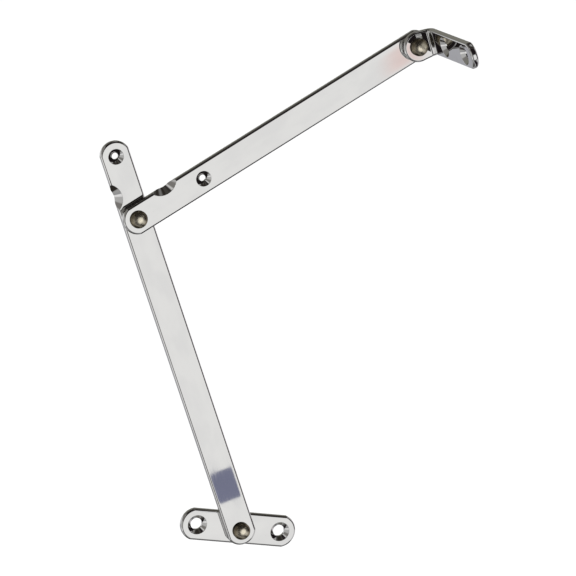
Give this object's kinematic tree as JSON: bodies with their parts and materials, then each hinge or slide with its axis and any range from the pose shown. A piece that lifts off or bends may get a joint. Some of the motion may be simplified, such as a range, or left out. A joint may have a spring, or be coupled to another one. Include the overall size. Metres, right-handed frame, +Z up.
{
  "type": "friction stay hinge",
  "caption": "Two-arm friction stay for a window sash: flat steel arms on domed rivet pivots, with a screw-on base plate and an angle bracket for the sash.",
  "frame": {"origin": "on the base pivot's axis, at the back face of the base plate", "axes": "+X along the base plate's long axis, +Y from the plate into the window frame, along all three pivot axes, +Z up; the stay stands half open in the XZ plane, and the room is towards -Y"},
  "size_m": [0.1389, 0.0608, 0.2373],
  "materials": {
    "polished_steel": "mirror polished stainless steel",
    "rivet_steel": "polished stainless steel, slightly warm",
    "spring_steel": "dark tempered spring steel",
    "nylon": "natural nylon"
  },
  "bodies": {
    "base": {"base_plate": "polished_steel", "base_rivet": "rivet_steel", "base_friction_washer": "nylon", "base_spring_washer": "spring_steel"},
    "lower_arm": {"lower_arm": "polished_steel", "base_bush": "nylon", "elbow_rivet": "rivet_steel", "elbow_friction_washer": "nylon", "elbow_spring_washer": "spring_steel", "elbow_tail_washer": "polished_steel"},
    "upper_arm": {"upper_arm": "polished_steel", "elbow_bush": "nylon", "sash_rivet": "rivet_steel", "sash_friction_washer": "nylon", "sash_spring_washer": "spring_steel"},
    "sash_bracket": {"sash_bracket": "polished_steel", "sash_bush": "nylon"}
  },
  "joints": [
    {"name": "base_pivot", "type": "hinge", "parent": "base", "child": "lower_arm", "pos_m": [0, -0.005, 0], "axis": [0, -1, 0], "range_deg": [-118.2, 61.8]},
    {"name": "elbow_pivot", "type": "hinge", "parent": "lower_arm", "child": "upper_arm", "pos_m": [-0.07088, -0.009, 0.1322], "axis": [0, -1, 0], "range_deg": [-96, 78.9]},
    {"name": "sash_pivot", "type": "hinge", "parent": "upper_arm", "child": "sash_bracket", "pos_m": [0.03784, -0.013, 0.22119], "axis": [0, -1, 0], "range_deg": [-120, 120]}
  ]
}
